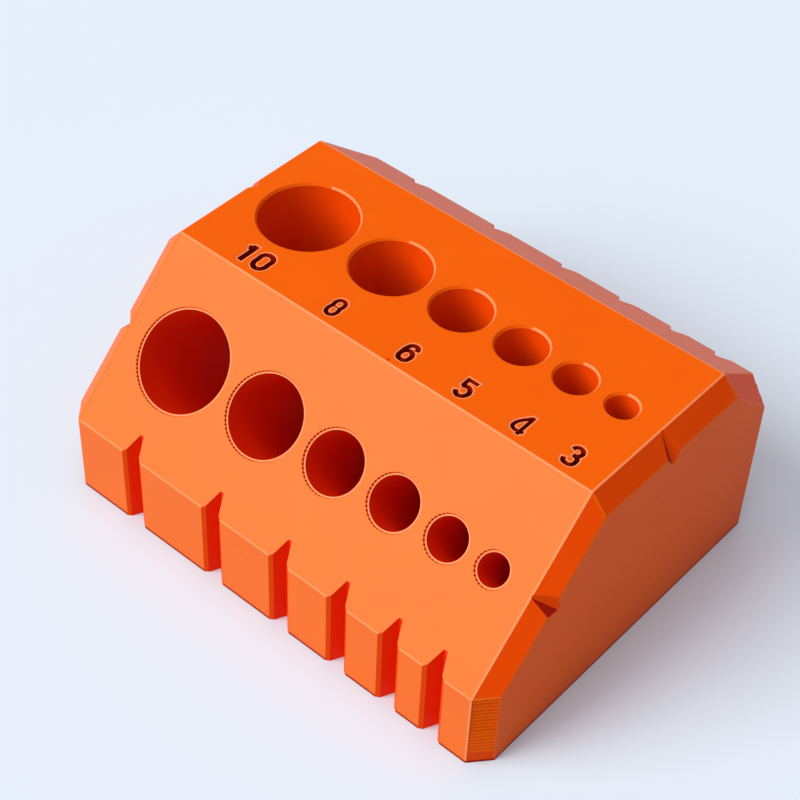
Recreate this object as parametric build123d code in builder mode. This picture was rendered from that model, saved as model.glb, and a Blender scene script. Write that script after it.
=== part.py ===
from build123d import *
from math import tan, radians
import os

# Drill guide block, printed in one piece. All sizes are in millimetres.
# X runs along the block from the widest bore to the narrowest, Y from the front to the back, Z up.
# The origin is the middle of the flat base.

# Bores: each drill has an upright bore in the top and a bore square to the sloped face
drill_diameters = [10, 8, 6, 5, 4, 3]
drill_clearance = 0.12
bore_wall = 1.7
wide_end_margin = 4.15
narrow_end_margin = 4.55
mouth_chamfer = 0.15
top_row_setback = 10.1
slope_row_setback = 10.35

# Outline seen from the end: front face, slope, flat top, back bevel and back face
block_height = 24.0
slope_angle = 45.0
slope_run = 14.75
top_depth = 19.75
bevel_run = 7.7
bevel_drop = 6.0

# Facets round each end: how far each one reaches along the block and down its own face
end_chamfer = 1.75
back_corner_chamfer = 2.75
front_inset = 2.0
slope_inset = 1.45
top_inset = 2.0
bevel_inset = 1.4
back_inset = 1.55

# Upright notches in the front and back faces, one in the plane of each pair of bores
notch_width = 2.5
notch_depth = 1.65
notch_root = 0.4
notch_lip = 0.38
notch_lip_depth = 0.25

# Sloping notches in the end facets, on the centre line of each row of bores
mark_width = 2.1
mark_drop = 1.1
mark_root = 0.3

# Places that follow from the sizes
bore_radii = [(diameter + drill_clearance) / 2 for diameter in drill_diameters]
row_length = sum(drill_diameters) + bore_wall * (len(drill_diameters) - 1)
block_length = row_length + wide_end_margin + narrow_end_margin
block_depth = slope_run + top_depth + bevel_run
half_length = block_length / 2
front_y = -block_depth / 2
fold_y = front_y + slope_run
top_back_y = fold_y + top_depth
back_y = block_depth / 2
front_height = block_height - slope_run * tan(radians(slope_angle))
back_height = block_height - bevel_drop
top_row_y = fold_y + top_row_setback

bore_x = []
row_start = -half_length + wide_end_margin
for diameter in drill_diameters:
    bore_x.append(row_start + diameter / 2)
    row_start += diameter + bore_wall

# The slope's own plane: local X along the block, local Y up the slope, origin on the fold
slope_plane = Plane(
    origin=(0, fold_y, block_height),
    x_dir=(1, 0, 0),
    z_dir=Vector(0, 0, 1).rotate(Axis.X, slope_angle),
)
top_plane = Plane.XY.offset(block_height)


def end_facet(start, end, inset):
    """Plane of the facet from the face edge start-end to a line inset on the end face."""
    along = end - start
    face_normal = Vector(0, -along.Z, along.Y).normalized()
    if face_normal.dot(start - Vector(0, top_row_y, 0)) < 0:
        face_normal = -face_normal
    lower = Vector(half_length, start.Y, start.Z) - face_normal * inset
    outward = along.cross(lower - start).normalized()
    if outward.X < 0:
        outward = -outward
    return Plane(origin=start, z_dir=outward)


with BuildPart() as guide_block:
    # Half of the block, from the middle to the right-hand end
    with BuildSketch(Plane.YZ) as outline:
        with BuildLine():
            Polyline(
                (front_y, 0),
                (front_y, front_height),
                (fold_y, block_height),
                (top_back_y, block_height),
                (back_y, back_height),
                (back_y, 0),
                close=True,
            )
        make_face()
    extrude(amount=half_length)

    # Facets round the end face
    chamfer_x = half_length - end_chamfer
    back_corner_x = half_length - back_corner_chamfer
    front_foot = Vector(chamfer_x, front_y, 0)
    front_brow = Vector(chamfer_x, front_y, front_height)
    fold_end = Vector(chamfer_x, fold_y, block_height)
    top_corner = Vector(chamfer_x, top_back_y, block_height)
    back_corner = Vector(back_corner_x, back_y, back_height)
    back_foot = Vector(back_corner_x, back_y, 0)
    for start, end, inset in (
        (front_foot, front_brow, front_inset),
        (front_brow, fold_end, slope_inset),
        (fold_end, top_corner, top_inset),
        (top_corner, back_corner, bevel_inset),
        (back_corner, back_foot, back_inset),
    ):
        split(bisect_by=end_facet(start, end, inset), keep=Keep.BOTTOM)

    # Centre line marks: a V that starts at the facet's upper edge and runs out through the end face
    top_mark = Plane(origin=(half_length, top_row_y, block_height), x_dir=(0, 1, 0), z_dir=(1, 0, 0))
    slope_mark = Plane(
        origin=slope_plane.from_local_coords((half_length, -slope_row_setback, 0)),
        x_dir=slope_plane.y_dir,
        z_dir=(1, 0, 0),
    )
    mark_spread = (mark_width - mark_root) / 2 / mark_drop
    for plane, inset in ((top_mark, top_inset), (slope_mark, slope_inset)):
        root_depth = inset + mark_drop
        half_root = mark_root / 2
        half_mouth = half_root + mark_spread * root_depth
        with BuildSketch(plane) as mark:
            Polygon(
                (-half_root, -root_depth),
                (half_root, -root_depth),
                (half_mouth, 0),
                (-half_mouth, 0),
                align=None,
            )
        run = plane.y_dir * root_depth - Vector(end_chamfer, 0, 0)
        extrude(amount=run.length, dir=run, both=True, mode=Mode.SUBTRACT)

    mirror(about=Plane.YZ)

    # Notches in the front and back faces
    with BuildSketch() as notches:
        half_mouth = notch_width / 2
        half_throat = half_mouth - notch_lip
        half_root = notch_root / 2
        with Locations(*[(x, front_y) for x in bore_x]):
            Polygon(
                (-half_mouth, 0),
                (-half_throat, notch_lip_depth),
                (-half_root, notch_depth),
                (half_root, notch_depth),
                (half_throat, notch_lip_depth),
                (half_mouth, 0),
                align=None,
            )
        mirror(about=Plane.XZ)
    extrude(amount=block_height, mode=Mode.SUBTRACT)

    # Bores through to the base
    for x, radius in zip(bore_x, bore_radii):
        with Locations(top_plane):
            with Locations((x, top_row_y)):
                Hole(radius)
        with Locations(slope_plane):
            with Locations((x, -slope_row_setback)):
                Hole(radius)

    # Lightly broken rims round the bore mouths
    top_face = guide_block.faces().sort_by(Axis.Z)[-1]
    slope_face = guide_block.faces().sort_by(Axis((0, 0, 0), slope_plane.z_dir))[-1]
    rims = top_face.edges().filter_by(GeomType.CIRCLE) + slope_face.edges().filter_by(GeomType.CIRCLE)
    chamfer(rims, length=mouth_chamfer)

guide_block.part.label = "guide_block"

os.makedirs("parts", exist_ok=True)
export_step(guide_block.part, "parts/guide_block.step")
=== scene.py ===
from math import cos, pi, radians, sin

import bmesh
import bpy
from mathutils import Matrix, Vector


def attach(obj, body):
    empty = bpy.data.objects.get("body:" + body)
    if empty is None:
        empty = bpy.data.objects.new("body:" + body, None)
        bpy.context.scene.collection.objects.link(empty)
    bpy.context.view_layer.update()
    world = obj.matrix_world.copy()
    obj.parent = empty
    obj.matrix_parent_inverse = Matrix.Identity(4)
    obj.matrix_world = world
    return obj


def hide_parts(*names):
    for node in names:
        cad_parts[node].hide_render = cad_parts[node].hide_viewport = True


# Orange drill guide block, printed in one piece. Sizes are in millimetres, and shade() makes them metres.
# X runs along the block from the widest bore to the narrowest, Y from the front to the back, Z up.
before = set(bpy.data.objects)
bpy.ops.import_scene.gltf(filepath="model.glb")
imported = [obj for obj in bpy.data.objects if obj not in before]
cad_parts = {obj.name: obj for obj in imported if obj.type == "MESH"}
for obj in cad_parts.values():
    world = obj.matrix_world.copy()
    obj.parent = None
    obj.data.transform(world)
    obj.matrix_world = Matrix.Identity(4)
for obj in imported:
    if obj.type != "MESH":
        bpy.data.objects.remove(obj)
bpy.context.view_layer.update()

MM = 0.001

# Block sizes, as the solid has them
DRILLS = (10, 8, 6, 5, 4, 3)
DRILL_CLEARANCE = 0.12
BORE_WALL = 1.7
WIDE_END_MARGIN = 4.15
NARROW_END_MARGIN = 4.55
TOP_ROW_SETBACK = 10.1
SLOPE_ROW_SETBACK = 10.35
BLOCK_HEIGHT = 24.0
SLOPE_RUN = 14.75
TOP_DEPTH = 19.75
BEVEL_RUN = 7.7
BEVEL_DROP = 6.0
END_CHAMFER = 1.75
BACK_CORNER_CHAMFER = 2.75
FACET_INSETS = (2.0, 1.45, 2.0, 1.4, 1.55)
NOTCH_HALF_MOUTH = 1.25
NOTCH_HALF_THROAT = 0.87
NOTCH_HALF_ROOT = 0.2
NOTCH_LIP_DEPTH = 0.25
NOTCH_DEPTH = 1.65
MARK_HALF_ROOT = 0.15
MARK_DROP = 1.1
MARK_SPREAD = 0.82

# Eased edges, and the painted contact shadow where the block meets its support. A face of under 8 mm2 is an
# eased edge.
EDGE_ROUNDING = 0.11
EDGE_ROUNDING_STEPS = 3
LARGEST_EASED_EDGE = 8
CONTACT_SHADOW_HEIGHT = 0.3
JUST_OVER_BASE = 0.01

# Engraved numbers
NUMBER_DEPTH = 1.6
NUMBER_BASELINE = 0.95
NUMBER_RIM = 0.15
NUMBER_RIM_DEPTH = 0.04
STROKE_STAGGER = 0.003
STROKE_CURVE_STEPS = 8

# Layer lines on the upright corner facets: they grow fainter towards the base and are a little uneven.
# Their comb clears the facet at its ridges, and stands back from it behind its teeth.
LAYER_PITCH = 0.48
LAYER_GROOVE = 0.2
LAYER_GROOVE_AT = 0.36
LAYER_RIDGE_AT = 0.98
LAYER_RIDGE_CLEARANCE = 0.015
LAYER_START_CLEARANCE = 0.02
LAYER_COMB_BACK = 0.5
LAYER_SIDE_MARGIN = 0.02
LAYERS_UNDER_BROW = 0.1
LAYERS_OVER_BASE = 1.5
FAINTEST_LAYER = 0.25
LAYER_FADE_FROM = 1.2
LAYER_FADE_RUN = 5
LAYER_UNEVENNESS = 0.2
LAYER_WAVE = 2.3

# Dots round the sloped mouths. The row of each drill starts and ends at these degrees round its bore.
RIM_DOT_RADIUS = 0.075
RIM_DOT_STRETCH = 1.7
RIM_DOT_FADE = 0.4
RIM_DOT_REACH = 0.21
RIM_DOT_DEPTH = 0.33
RIM_DOT_PITCH = 0.4
RIM_DOT_SIDES = 8
RIM_DOT_ARCS = {10: (150, 268), 8: (105, 285), 6: (105, 275), 5: (105, 275), 4: (110, 275), 3: (120, 280)}

# The blemish in the top: its place along the block and behind the fold, and its size
PIT_X = 1.5
PIT_SETBACK = 0.4
PIT_SIDES = 10
PIT_FLOOR_RADIUS = 0.1
PIT_MOUTH_RADIUS = 0.2
PIT_HEIGHT = 0.6
PIT_TILT = 25

# How far the cutters of the notches, rings and marks reach past a face, how deep those of the bores reach,
# and how far the left mark reaches into the top
OVERRUN = 1
RING_OVERRUN = 0.5
MARK_OVERRUN = 0.2
BORE_REACH = 40
LEFT_MARK_REACH = 0.45

# Sides of a turned bore, for the drills wider than this and for the rest
WIDEST_NARROW_DRILL = 5
WIDE_BORE_SIDES = 128
NARROW_BORE_SIDES = 96

# Printed rings round the bore mouths: distance out from the bore's wall, and height over the face
UPRIGHT_RING = ((0, -0.21), (0.05, -0.2), (0.505, RING_OVERRUN))
SLOPED_RING = ((0, -0.2), (0.02, -0.18), (0.15, -0.17), (0.545, RING_OVERRUN))

# Below this height a turned face is the bore's wall. An upright ring is plain, without painted highlight,
# past this share of its radius towards the wide end, where it faces away from the light.
RING_FLOOR = -1
SHADED_SIDE = -0.3

# Distances under which corners are one corner
CUT_SLACK = 1e-4
DOUBLE_MERGE = 1e-5
FACET_MERGE = 1e-3
STROKE_MERGE = 1e-4
BLOCK_MERGE = 1e-4

# An edge is a crease from this angle in degrees
CREASE = 28

# The finishes in the block's one mesh: the filament; a paler tone painted as highlight on its rims and edges;
# the glossier front and slope, made yellower as painted light; and, as painted shade, the redder facets with
# stepped layers, the redder walls of the upright bores, the deep red walls where little light reaches, and
# the dark grooves
FILAMENT, PAINTED_HIGHLIGHT, PAINTED_LIGHT, PAINTED_SHADE, PAINTED_BORE_SHADE, PAINTED_DEEP_SHADE, PAINTED_DARK_SHADE = range(7)

row_length = sum(DRILLS) + BORE_WALL * (len(DRILLS) - 1)
half_length = (row_length + WIDE_END_MARGIN + NARROW_END_MARGIN) / 2
front_y = -(SLOPE_RUN + TOP_DEPTH + BEVEL_RUN) / 2
fold_y = front_y + SLOPE_RUN
top_back_y = fold_y + TOP_DEPTH
back_y = -front_y
front_height = BLOCK_HEIGHT - SLOPE_RUN
back_height = BLOCK_HEIGHT - BEVEL_DROP
top_row_y = fold_y + TOP_ROW_SETBACK
up_slope = Vector((0, 1, 1)).normalized()
off_slope = Vector((0, -1, 1)).normalized()
slope_row = Vector((0, fold_y, BLOCK_HEIGHT)) - up_slope * SLOPE_ROW_SETBACK

# The edges carry the painted highlight between the facets of the two ends, and no further back than the top
painted_highlight_left = -half_length + END_CHAMFER + 0.2
painted_highlight_right = half_length - END_CHAMFER * 0.7
painted_highlight_back = top_back_y + 0.5

bore_x = {}
row_start = -half_length + WIDE_END_MARGIN
for drill in DRILLS:
    bore_x[drill] = row_start + drill / 2
    row_start += drill + BORE_WALL


def everything(bm):
    """All corners, edges and faces of a shape."""
    return bm.verts[:] + bm.edges[:] + bm.faces[:]


def finished(bm, name):
    """Make a mesh object of a closed shape."""
    bmesh.ops.remove_doubles(bm, verts=bm.verts, dist=DOUBLE_MERGE)
    bmesh.ops.recalc_face_normals(bm, faces=bm.faces)
    mesh = bpy.data.meshes.new(name)
    bm.to_mesh(mesh)
    bm.free()
    for finish in finishes:
        mesh.materials.append(finish)
    piece = bpy.data.objects.new(name, mesh)
    bpy.context.scene.collection.objects.link(piece)
    return piece


def drawn_out(points, run):
    """Draw a flat polygon out along a run, as a closed bar."""
    bm = bmesh.new()
    face = bm.faces.new([bm.verts.new(p) for p in points])
    ends = bmesh.ops.extrude_face_region(bm, geom=[face])["geom"]
    bmesh.ops.translate(bm, vec=run, verts=[v for v in ends if isinstance(v, bmesh.types.BMVert)])
    return bm


def turned(profile, sides, finish_at, place):
    """Turn a profile of (radius, height) round the upright axis, finish its faces, and place it."""
    bm = bmesh.new()
    line = [bm.verts.new((radius, 0, height)) for radius, height in profile]
    edges = [bm.edges.new(pair) for pair in zip(line, line[1:])]
    bmesh.ops.spin(
        bm, geom=line + edges, cent=(0, 0, 0), axis=(0, 0, 1), angle=2 * pi, steps=sides, use_merge=True,
    )
    bmesh.ops.remove_doubles(bm, verts=bm.verts, dist=DOUBLE_MERGE)
    for face in bm.faces:
        face.smooth = True
        face.material_index = finish_at(face.calc_center_median())
    bmesh.ops.transform(bm, matrix=place, verts=bm.verts)
    return bm


def cut_end_facets(bm, outline):
    """Cut the ring of five facets round each end of the drawn-out outline."""
    reaches = [END_CHAMFER] * 4 + [BACK_CORNER_CHAMFER] * 2
    for side in (-1, 1):
        corners = [Vector((side * (half_length - reach), y, z)) for reach, (y, z) in zip(reaches, outline)]
        for start, end, inset in zip(corners, corners[1:], FACET_INSETS):
            along = end - start
            outward = Vector((0, -along.z, along.y)).normalized()
            lower = Vector((side * half_length, start.y, start.z)) - outward * inset
            normal = along.cross(lower - start).normalized()
            if normal.x * side < 0:
                normal = -normal
            cut_line = bmesh.ops.bisect_plane(
                bm, geom=everything(bm), dist=CUT_SLACK, plane_co=start, plane_no=normal, clear_outer=True,
            )["geom_cut"]
            bmesh.ops.contextual_create(bm, geom=[e for e in cut_line if isinstance(e, bmesh.types.BMEdge)])
    bmesh.ops.remove_doubles(bm, verts=bm.verts, dist=FACET_MERGE)
    bmesh.ops.recalc_face_normals(bm, faces=bm.faces)


def block_finish(face):
    """The finish of one face of the plain block. Its eased edges are the smooth faces."""
    middle = face.calc_center_median()
    # Eased edges between the end facets are painted paler, as highlight.
    if face.smooth and painted_highlight_left < middle.x < painted_highlight_right and middle.y < painted_highlight_back:
        return PAINTED_HIGHLIGHT
    # The end facets are painted redder, as shade.
    if not face.smooth and 0.2 < face.normal.x < 0.95:
        return PAINTED_SHADE
    # The front and slope take the glossier finish, painted yellower as light.
    if face.normal.y < -0.5:
        return PAINTED_LIGHT
    return FILAMENT


def plain_block():
    """The outline drawn out along the block, with its end facets, its eased edges and a painted contact
    shadow along its foot.
    """
    outline = [
        (front_y, 0), (front_y, front_height), (fold_y, BLOCK_HEIGHT),
        (top_back_y, BLOCK_HEIGHT), (back_y, back_height), (back_y, 0),
    ]
    bm = drawn_out([(-half_length, y, z) for y, z in outline], (2 * half_length, 0, 0))
    cut_end_facets(bm, outline)
    bmesh.ops.bevel(
        bm, geom=[e for e in bm.edges if max(v.co.z for v in e.verts) > CONTACT_SHADOW_HEIGHT], offset=EDGE_ROUNDING,
        offset_type="OFFSET", affect="EDGES", segments=EDGE_ROUNDING_STEPS, profile=0.5, material=-1,
    )
    for face in bm.faces:
        face.smooth = face.calc_area() < LARGEST_EASED_EDGE
        face.material_index = block_finish(face)
    bmesh.ops.bisect_plane(
        bm, geom=everything(bm), dist=CUT_SLACK, plane_co=(0, 0, CONTACT_SHADOW_HEIGHT), plane_no=(0, 0, 1),
    )
    # The low band over the base is painted dark, as a contact shadow.
    for face in bm.faces:
        if JUST_OVER_BASE < face.calc_center_median().z < CONTACT_SHADOW_HEIGHT:
            face.material_index = PAINTED_DARK_SHADE
    return finished(bm, "printed_block")


def bore_places(drill):
    """The places of a drill's two bore mouths, each with its own upright axis square to the face."""
    upright = Matrix.Translation((bore_x[drill], top_row_y, BLOCK_HEIGHT))
    sloped = Matrix.Translation(slope_row + Vector((bore_x[drill], 0, 0))) @ Matrix.Rotation(pi / 4, 4, "X")
    return upright, sloped


def upright_finish(middle):
    """The wall of an upright bore, redder as painted shade, and its ring: painted highlight, but for its
    shaded side towards the wide end.
    """
    if middle.z < RING_FLOOR:
        return PAINTED_BORE_SHADE
    return PAINTED_HIGHLIGHT if middle.x > SHADED_SIDE * middle.xy.length else FILAMENT


def sloped_finish(middle):
    """The wall of a sloped bore in deep red painted shade, the ledge of its ring with painted highlight, and
    the plain flank outside the ledge.
    """
    if middle.z < RING_FLOOR:
        return PAINTED_DEEP_SHADE
    return PAINTED_HIGHLIGHT if middle.z < 0 else FILAMENT


def bore_cutters():
    """The two rows of bore cutters, each with the printed ring of its mouth."""
    rows = ([], [])
    rings = (UPRIGHT_RING, SLOPED_RING)
    ring_finishes = (upright_finish, sloped_finish)
    for drill in DRILLS:
        radius = (drill + DRILL_CLEARANCE) / 2
        sides = WIDE_BORE_SIDES if drill > WIDEST_NARROW_DRILL else NARROW_BORE_SIDES
        for row, place, ring, finish_at in zip(rows, bore_places(drill), rings, ring_finishes):
            profile = [(0, -BORE_REACH), (radius, -BORE_REACH)]
            profile += [(radius + out, height) for out, height in ring]
            profile.append((0, RING_OVERRUN))
            row.append(finished(turned(profile, sides, finish_at, place), f"bore_cutter_{drill}_{len(row)}"))
    return list(rows)


def rim_dot_cutters():
    """Rows of small pits where the layers end in steps round the sloped mouths, smaller towards the ends."""
    stretched = Matrix.Diagonal((RIM_DOT_STRETCH, 1, 1, 1))
    cutters = []
    for drill in DRILLS:
        start, end = RIM_DOT_ARCS[drill]
        reach = (drill + DRILL_CLEARANCE) / 2 + RIM_DOT_REACH
        count = int(radians(end - start) * reach / RIM_DOT_PITCH)
        bm = bmesh.new()
        for dot in range(count + 1):
            angle = radians(start + (end - start) * dot / count)
            size = RIM_DOT_RADIUS * (1 - RIM_DOT_FADE * (2 * dot / count - 1) ** 2)
            dash = Matrix.Rotation(angle, 4, "Z") @ Matrix.Translation((reach, 0, 0)) @ stretched
            bmesh.ops.create_cone(
                bm, cap_ends=True, segments=RIM_DOT_SIDES, radius1=size, radius2=size,
                depth=RIM_DOT_DEPTH * 2, matrix=bore_places(drill)[1] @ dash,
            )
        # The pits are painted in the redder tone, as shade.
        for face in bm.faces:
            face.material_index = PAINTED_SHADE
        cutters.append(finished(bm, f"rim_dot_cutter_{drill}"))
    return cutters


def pit_cutter():
    """One small blemish in the top, beside the fold."""
    place = Matrix.Translation((PIT_X, fold_y + PIT_SETBACK, BLOCK_HEIGHT))
    bm = bmesh.new()
    bmesh.ops.create_cone(
        bm, cap_ends=True, segments=PIT_SIDES, radius1=PIT_FLOOR_RADIUS, radius2=PIT_MOUTH_RADIUS,
        depth=PIT_HEIGHT, matrix=place @ Matrix.Rotation(radians(PIT_TILT), 4, "Y"),
    )
    return [finished(bm, "pit_cutter")]


def notch_cutters():
    """Upright notches in the front and the back, one in the plane of each pair of bores."""
    lip_spread = (NOTCH_HALF_MOUTH - NOTCH_HALF_THROAT) / NOTCH_LIP_DEPTH
    half = [
        (NOTCH_HALF_ROOT, NOTCH_DEPTH),
        (NOTCH_HALF_THROAT, NOTCH_LIP_DEPTH),
        (NOTCH_HALF_MOUTH + lip_spread * OVERRUN, -OVERRUN),
    ]
    cutters = []
    for drill in DRILLS:
        for face_y, inward in ((front_y, 1), (back_y, -1)):
            points = [(bore_x[drill] + x, face_y + inward * depth, -OVERRUN) for x, depth in half]
            points += [(bore_x[drill] - x, face_y + inward * depth, -OVERRUN) for x, depth in reversed(half)]
            bar = drawn_out(points, (0, 0, BLOCK_HEIGHT + 2 * OVERRUN))
            # Painted shade: a notch's deep walls are painted deep red, and its lips redder.
            for face in bar.faces:
                deepest = max((v.co.y - face_y) * inward for v in face.verts)
                face.material_index = PAINTED_DEEP_SHADE if deepest > NOTCH_LIP_DEPTH * 2 else PAINTED_SHADE
            cutters.append(finished(bar, f"notch_cutter_{drill}_{inward}"))
    return cutters


def mark_cutters():
    """Sloping V marks in the end facets, on the centre line of each row of bores."""
    cutters = []
    top_row = Vector((0, top_row_y, BLOCK_HEIGHT))
    rows = (
        (top_row, Vector((0, 1, 0)), Vector((0, 0, 1)), FACET_INSETS[2], LEFT_MARK_REACH),
        (slope_row, up_slope, off_slope, FACET_INSETS[1], 0),
    )
    for side in (-1, 1):
        for centre, across, outward, inset, left_reach in rows:
            root = inset + MARK_DROP
            mouth = MARK_HALF_ROOT + MARK_SPREAD * (root + MARK_OVERRUN)
            section = (
                (-MARK_HALF_ROOT, -root), (MARK_HALF_ROOT, -root),
                (mouth, MARK_OVERRUN), (-mouth, MARK_OVERRUN),
            )
            at = centre + Vector((side * half_length, 0, 0))
            if side < 0:
                at.x += left_reach
            run = outward * root - Vector((side * END_CHAMFER, 0, 0))
            bar = drawn_out([at + across * x + outward * z - run for x, z in section], run * 2)
            bmesh.ops.recalc_face_normals(bar, faces=bar.faces)
            # Painted shade: the flank of a right-end mark that faces away from the light is painted dark, the
            # rest redder.
            for face in bar.faces:
                in_shadow = side > 0 and face.normal.dot(across) < -0.5
                face.material_index = PAINTED_DARK_SHADE if in_shadow else PAINTED_SHADE
            cutters.append(finished(bar, f"mark_cutter_{side}_{inset}"))
    return cutters


# Numbers, as strokes of a pen. A stroke is (pen width, closed, points); a sharp corner has a third value.
NUMBERS = {
    "1": [
        (0.6, False, [(-0.6, 1.95, 1), (-0.3, 2.12, 1), (-0.03, 2.42, 1)]),
        (0.6, False, [(0, 2.6, 1), (0, 0, 1)]),
    ],
    "0": [
        (0.56, True, [
            (-0.66, 1.35), (-0.64, 2.0), (-0.3, 2.36), (0.3, 2.36), (0.64, 2.0),
            (0.66, 1.35), (0.64, 0.7), (0.3, 0.28), (-0.3, 0.28), (-0.64, 0.7),
        ]),
    ],
    "8": [
        (0.45, True, [
            (-0.47, 1.42), (-0.5, 2.0), (-0.24, 2.4), (0.24, 2.4), (0.5, 2.0),
            (0.47, 1.42), (0.54, 0.75), (0.27, 0.28), (-0.27, 0.28), (-0.54, 0.75),
        ]),
        (0.16, False, [(-0.4, 1.4, 1), (0.4, 1.4, 1)]),
    ],
    "6": [
        (0.5, True, [
            (-0.56, 0.88), (-0.36, 1.42), (0.08, 1.6), (0.5, 1.3),
            (0.58, 0.85), (0.4, 0.36), (0, 0.24), (-0.4, 0.36),
        ]),
        (0.5, False, [(-0.56, 0.9), (-0.55, 1.7), (-0.35, 2.25), (0.05, 2.43), (0.4, 2.25), (0.47, 1.9)]),
    ],
    "5": [
        (0.42, False, [(0.62, 2.43, 1), (-0.48, 2.43, 1), (-0.48, 1.42, 1)]),
        (0.5, False, [
            (-0.5, 1.46, 1), (0.1, 1.62), (0.56, 1.25), (0.56, 0.65),
            (0.1, 0.24), (-0.35, 0.35), (-0.56, 0.72),
        ]),
    ],
    "4": [
        (0.4, False, [(0.26, 2.5, 1), (-0.62, 0.82), (-0.45, 0.5), (0.75, 0.5, 1)]),
        (0.4, False, [(0.36, 2.68, 1), (0.36, 0, 1)]),
    ],
    "3": [
        (0.46, False, [(-0.55, 2.0), (-0.38, 2.36), (0.1, 2.45), (0.47, 2.1), (0.35, 1.6), (-0.1, 1.42, 1)]),
        (0.46, False, [
            (-0.13, 1.44, 1), (0.42, 1.3), (0.57, 0.85), (0.45, 0.4), (0, 0.24), (-0.42, 0.36), (-0.6, 0.75),
        ]),
    ],
}

# Each digit with the middle of its place along the block
NUMBER_PLACES = (
    ("1", -17.95), ("0", -16.04), ("8", -6.71), ("6", 2.19), ("5", 8.95), ("4", 15.45), ("3", 21.1),
)


def evaluated(obj):
    """The mesh of an object with its modifiers, as a bmesh. The object is taken away."""
    bpy.context.view_layer.update()
    bm = bmesh.new()
    bm.from_mesh(bpy.data.meshes.new_from_object(obj.evaluated_get(bpy.context.evaluated_depsgraph_get())))
    bpy.data.objects.remove(obj)
    return bm


def pen_wall(name, closed, points, width, depth):
    """One stroke as a wall of the pen's width, standing through the top face."""
    path = bpy.data.curves.new(name, "CURVE")
    path.dimensions = "3D"
    path.resolution_u = STROKE_CURVE_STEPS
    path.extrude = depth
    spline = path.splines.new("BEZIER")
    spline.bezier_points.add(len(points) - 1)
    spline.use_cyclic_u = closed
    for knot, point in zip(spline.bezier_points, points):
        knot.co = (point[0], point[1], 0)
        kind = "VECTOR" if len(point) == 3 else "AUTO"
        knot.handle_left_type = kind
        knot.handle_right_type = kind
    ribbon = bpy.data.objects.new(name, path)
    bpy.context.scene.collection.objects.link(ribbon)
    bm = evaluated(ribbon)
    bmesh.ops.remove_doubles(bm, verts=bm.verts, dist=STROKE_MERGE)
    wall = finished(bm, name)
    pen = wall.modifiers.new("pen", "SOLIDIFY")
    pen.thickness = width
    pen.offset = 0
    pen.use_even_offset = True
    return evaluated(wall)


def lengthened(points, reach):
    """The points of an open stroke with both ends drawn out by a reach."""
    ends = []
    for end, inner in ((points[0], points[1]), (points[-1], points[-2])):
        way = Vector((end[0] - inner[0], end[1] - inner[1])).normalized() * reach
        ends.append((end[0] + way.x, end[1] + way.y) + tuple(end[2:]))
    return [ends[0]] + points[1:-1] + [ends[1]]


def stroke_cutters(index, wider, depth, finish):
    """One stroke of every digit: the first or the second, cut wider than the pen, to a depth."""
    cutters = []
    for digit, centre in NUMBER_PLACES:
        if index < len(NUMBERS[digit]):
            width, closed, points = NUMBERS[digit][index]
            path = lengthened(points, wider / 2) if wider and not closed else points
            name = f"number_cutter_{digit}_{index}_{finish}"
            bm = pen_wall(name, closed, path, width + wider, depth + STROKE_STAGGER * index)
            for face in bm.faces:
                face.material_index = finish
            bmesh.ops.translate(bm, verts=bm.verts, vec=(centre, fold_y + NUMBER_BASELINE, BLOCK_HEIGHT))
            cutters.append(finished(bm, name))
    return cutters


def number_cutters():
    """Groups in which no two cutters touch: the shallow rims of the strokes with painted highlight, then the
    deep strokes with dark painted shade.
    """
    groups = [stroke_cutters(index, 2 * NUMBER_RIM, NUMBER_RIM_DEPTH, PAINTED_HIGHLIGHT) for index in (0, 1)]
    groups += [stroke_cutters(index, 0, NUMBER_DEPTH, PAINTED_DARK_SHADE) for index in (0, 1)]
    return groups


def groove_depth(layer, height):
    """How deep the groove under one layer is, at its height over the base."""
    fade = min(1, FAINTEST_LAYER + (height - LAYER_FADE_FROM) / LAYER_FADE_RUN)
    return LAYER_GROOVE * fade * (1 + LAYER_UNEVENNESS * sin(LAYER_WAVE * layer))


def layer_cutters():
    """Combs that cut the layer lines into the upright facets at the four corners, between the eased edges."""
    corners = []
    for side in (-1, 1):
        corners.append((
            Vector((side * (half_length - END_CHAMFER), front_y, 0)),
            Vector((side * half_length, front_y + FACET_INSETS[0], 0)),
            front_height,
        ))
        corners.append((
            Vector((side * (half_length - BACK_CORNER_CHAMFER), back_y, 0)),
            Vector((side * half_length, back_y - FACET_INSETS[4], 0)),
            back_height,
        ))
    cutters = []
    for number, (start, end, top) in enumerate(corners):
        along = (end - start).normalized()
        outward = Vector((along.y, -along.x, 0))
        if outward.dot(start) < 0:
            outward = -outward
        first = top - LAYERS_UNDER_BROW
        comb = [(LAYER_START_CLEARANCE, first)]
        for layer in range(int((top - LAYERS_OVER_BASE) / LAYER_PITCH)):
            z = first - LAYER_PITCH * layer
            comb.append((-groove_depth(layer, z), z - LAYER_PITCH * LAYER_GROOVE_AT))
            comb.append((LAYER_RIDGE_CLEARANCE, z - LAYER_PITCH * LAYER_RIDGE_AT))
        points = [(LAYER_COMB_BACK, first)] + comb + [(LAYER_COMB_BACK, comb[-1][1])]
        margin = along * (EDGE_ROUNDING + LAYER_SIDE_MARGIN)
        base = start + margin
        run = end - start - margin * 2
        bar = drawn_out([base + outward * n + Vector((0, 0, z)) for n, z in points], run)
        bmesh.ops.recalc_face_normals(bar, faces=bar.faces)
        # Painted shade: the undersides of the layer ridges are painted dark.
        for face in bar.faces:
            face.material_index = PAINTED_DARK_SHADE if face.normal.z > 0.2 else FILAMENT
        cutters.append(finished(bar, f"layer_cutter_{number}"))
    return cutters


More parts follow.
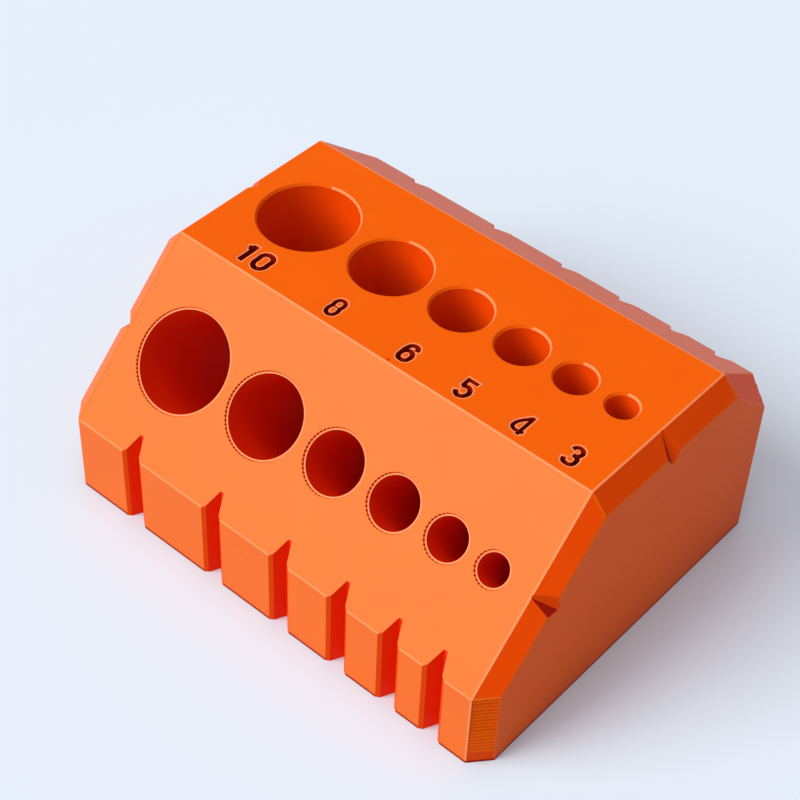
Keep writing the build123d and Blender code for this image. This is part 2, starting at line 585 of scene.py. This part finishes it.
def cut(block, cutters):
    """Take a group of cutters out of the block in one go."""
    group = bpy.data.collections.new("cutters")
    bpy.context.scene.collection.children.link(group)
    for cutter in cutters:
        bpy.context.scene.collection.objects.unlink(cutter)
        group.objects.link(cutter)
    trim = block.modifiers.new("cut", "BOOLEAN")
    trim.operation = "DIFFERENCE"
    trim.operand_type = "COLLECTION"
    trim.collection = group
    trim.solver = "EXACT"
    bpy.context.view_layer.update()
    mesh = bpy.data.meshes.new_from_object(block.evaluated_get(bpy.context.evaluated_depsgraph_get()))
    block.modifiers.clear()
    block.data = mesh
    for cutter in cutters:
        bpy.data.objects.remove(cutter)
    bpy.data.collections.remove(group)


def shade(block):
    """Mend what the cuts left open or doubled, bring the mesh to metres, and crease its sharp edges."""
    bm = bmesh.new()
    bm.from_mesh(block.data)
    bmesh.ops.remove_doubles(bm, verts=bm.verts, dist=BLOCK_MERGE)
    bmesh.ops.dissolve_degenerate(bm, edges=bm.edges, dist=BLOCK_MERGE)
    for face in bm.faces[:]:
        if all(len(edge.link_faces) != 2 for edge in face.edges):
            bm.faces.remove(face)
    bmesh.ops.delete(bm, geom=[e for e in bm.edges if not e.link_faces], context="EDGES")
    # Filled holes take the dark painted-shade finish.
    open_edges = [e for e in bm.edges if len(e.link_faces) == 1]
    for face in bmesh.ops.holes_fill(bm, edges=open_edges, sides=0)["faces"]:
        face.material_index = PAINTED_DARK_SHADE
    bmesh.ops.recalc_face_normals(bm, faces=bm.faces)
    bmesh.ops.scale(bm, vec=(MM, MM, MM), verts=bm.verts)
    for edge in bm.edges:
        edge.smooth = len(edge.link_faces) == 2 and edge.calc_face_angle(0) < radians(CREASE)
    bm.to_mesh(block.data)
    bm.free()


def satin_plastic(name, dark, light, shine=0.04):
    """Satin printed plastic with fine layer lines, a faint grain and a tone between two colours."""
    grain_scale = 3800
    patch_scale = 130
    layer_height = 0.24
    material = bpy.data.materials.new(name)
    material.use_nodes = True
    nodes = material.node_tree.nodes
    links = material.node_tree.links
    shader = nodes["Principled BSDF"]
    shader.inputs["IOR"].default_value = 1.45
    shader.inputs["Specular IOR Level"].default_value = shine

    place = nodes.new("ShaderNodeTexCoord")
    grain = nodes.new("ShaderNodeTexNoise")
    grain.inputs["Scale"].default_value = grain_scale
    grain.inputs["Detail"].default_value = 3
    links.new(place.outputs["Object"], grain.inputs["Vector"])
    patches = nodes.new("ShaderNodeTexNoise")
    patches.inputs["Scale"].default_value = patch_scale
    patches.inputs["Detail"].default_value = 4
    links.new(place.outputs["Object"], patches.inputs["Vector"])

    tone = nodes.new("ShaderNodeMix")
    tone.data_type = "RGBA"
    tone.inputs["A"].default_value = (*dark, 1)
    tone.inputs["B"].default_value = (*light, 1)
    links.new(patches.outputs["Fac"], tone.inputs["Factor"])
    links.new(tone.outputs["Result"], shader.inputs["Base Color"])

    gloss = nodes.new("ShaderNodeMapRange")
    gloss.inputs["To Min"].default_value = 0.26
    gloss.inputs["To Max"].default_value = 0.4
    links.new(grain.outputs["Fac"], gloss.inputs["Value"])
    links.new(gloss.outputs["Result"], shader.inputs["Roughness"])

    layers = nodes.new("ShaderNodeTexWave")
    layers.bands_direction = "Z"
    layers.inputs["Scale"].default_value = 2 * pi / (20 * layer_height * MM)
    layers.inputs["Distortion"].default_value = 0.3
    links.new(place.outputs["Object"], layers.inputs["Vector"])
    lines = nodes.new("ShaderNodeBump")
    lines.inputs["Strength"].default_value = 0.1
    lines.inputs["Distance"].default_value = 0.02 * MM
    links.new(layers.outputs["Fac"], lines.inputs["Height"])
    speckle = nodes.new("ShaderNodeBump")
    speckle.inputs["Strength"].default_value = 0.25
    speckle.inputs["Distance"].default_value = 0.03 * MM
    links.new(grain.outputs["Fac"], speckle.inputs["Height"])
    links.new(lines.outputs["Normal"], speckle.inputs["Normal"])
    links.new(speckle.outputs["Normal"], shader.inputs["Normal"])
    return material


def pale_floor():
    """Plain pale floor under the block."""
    half_size_m = 10
    bm = bmesh.new()
    bmesh.ops.create_grid(bm, x_segments=1, y_segments=1, size=half_size_m)
    mesh = bpy.data.meshes.new("floor")
    bm.to_mesh(mesh)
    bm.free()
    floor = bpy.data.objects.new("floor", mesh)
    bpy.context.scene.collection.objects.link(floor)
    material = bpy.data.materials.new("pale_floor")
    material.use_nodes = True
    shader = material.node_tree.nodes["Principled BSDF"]
    shader.inputs["Base Color"].default_value = (0.61, 0.65, 0.75, 1)
    shader.inputs["Roughness"].default_value = 0.85
    shader.inputs["Specular IOR Level"].default_value = 0.2
    floor.data.materials.append(material)


def lamp(name, way, spread, strength, tint=(1, 1, 1)):
    """A broad soft light from far off along a way. Its spread is in degrees."""
    light = bpy.data.lights.new(name, "SUN")
    light.energy = strength
    light.color = tint
    light.angle = radians(spread)
    obj = bpy.data.objects.new(name, light)
    bpy.context.scene.collection.objects.link(obj)
    obj.matrix_world = Vector(way).to_track_quat("Z", "Y").to_matrix().to_4x4()


def studio():
    """Soft light from the front left, the front and straight above, over a dim, slightly warm surround."""
    world = bpy.data.worlds.new("surround")
    world.use_nodes = True
    background = world.node_tree.nodes["Background"]
    background.inputs["Color"].default_value = (1, 0.94, 0.94, 1)
    background.inputs["Strength"].default_value = 0.35
    bpy.context.scene.world = world
    lamp("key", (-0.445, -0.627, 0.639), 40, 2.8, (0.9, 1, 0.94))
    lamp("overhead", (0, 0, 1), 40, 0.9, (0.95, 1, 1))
    lamp("front", (0, -0.8, 0.6), 60, 0.8)


def photo_camera():
    """The camera at the photo's viewing angle. Its focal length is in pixels of the photo's width."""
    azimuth = radians(39.286)
    elevation = radians(44.821)
    roll = radians(2.702)
    aim = Vector((-0.43, -1.741, 14.442))
    distance = 190
    focal_pixels = 1996.3
    photo_width_pixels = 800
    back = Vector((sin(azimuth) * cos(elevation), -cos(azimuth) * cos(elevation), sin(elevation)))
    level = Vector((cos(azimuth), sin(azimuth), 0))
    rise = back.cross(level)
    right = level * cos(roll) + rise * sin(roll)
    up = rise * cos(roll) - level * sin(roll)
    eye = (aim + back * distance) * MM
    camera = bpy.data.cameras.new("photo_camera")
    camera.sensor_width = 36
    camera.lens = focal_pixels / photo_width_pixels * camera.sensor_width
    camera.clip_start = 0.01
    camera.clip_end = 20
    obj = bpy.data.objects.new("photo_camera", camera)
    bpy.context.scene.collection.objects.link(obj)
    turn = Matrix((right, up, back)).transposed().to_4x4()
    obj.matrix_world = Matrix.Translation(eye) @ turn
    bpy.context.scene.camera = obj


photo_camera()
finishes = (
    satin_plastic("orange_filament", (0.7, 0.086, 0.0018), (0.75, 0.099, 0.0021)),
    # Paler tone painted as highlight on rims and edges.
    satin_plastic("painted_highlight_rims", (0.78, 0.2, 0.075), (0.82, 0.24, 0.09), 0.15),
    # Glossier, with a yellower tone painted as light.
    satin_plastic("glossy_front_painted_light", (0.7, 0.107, 0.0015), (0.75, 0.123, 0.0018), 0.16),
    # Redder tone painted as shade.
    satin_plastic("painted_shade_facets", (0.66, 0.05, 0.001), (0.71, 0.058, 0.0012), 0.02),
    # Redder tone painted as shade in the upright bores.
    satin_plastic("painted_shade_upright_bore_walls", (0.77, 0.056, 0.001), (0.82, 0.066, 0.0012)),
    # Deep red painted shade.
    satin_plastic("painted_deep_shade_walls", (0.74, 0.02, 0.001), (0.79, 0.026, 0.0012)),
    # Dark painted shade.
    satin_plastic("painted_dark_shade_grooves", (0.3, 0.006, 0.001), (0.35, 0.009, 0.001)),
)
block = plain_block()
steps = [layer_cutters(), notch_cutters() + mark_cutters()]
steps += bore_cutters() + number_cutters() + [rim_dot_cutters() + pit_cutter()]
for cutters in steps:
    cut(block, cutters)
shade(block)
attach(block, "root")
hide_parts("guide_block")
pale_floor()
studio()
bpy.context.scene.view_settings.view_transform = "Standard"
